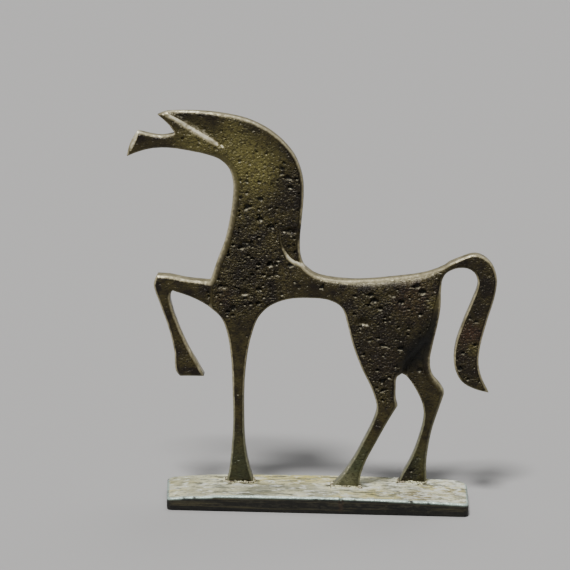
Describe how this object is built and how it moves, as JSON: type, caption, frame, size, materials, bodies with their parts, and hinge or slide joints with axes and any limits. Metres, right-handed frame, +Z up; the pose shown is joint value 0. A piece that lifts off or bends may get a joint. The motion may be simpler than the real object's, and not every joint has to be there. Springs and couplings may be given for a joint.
{
  "type": "geometric bronze horse figurine",
  "caption": "Flat cast bronze horse in ancient geometric style, with a raised foreleg and an arched tail, standing on a slab plinth.",
  "frame": {"origin": "middle of the plinth's underside", "axes": "+Z up, the horse looks along -X, its near side faces -Y"},
  "size_m": [0.183, 0.0415, 0.1958],
  "materials": {
    "horse_bronze": "dark olive and brown patina on pitted flat faces, smoother lighter bevelled rims",
    "plinth_bronze": "pale grey green rough top, dark olive brushed sides"
  },
  "bodies": {
    "root": {"horse": "horse_bronze", "plinth": "plinth_bronze"}
  },
  "joints": []
}
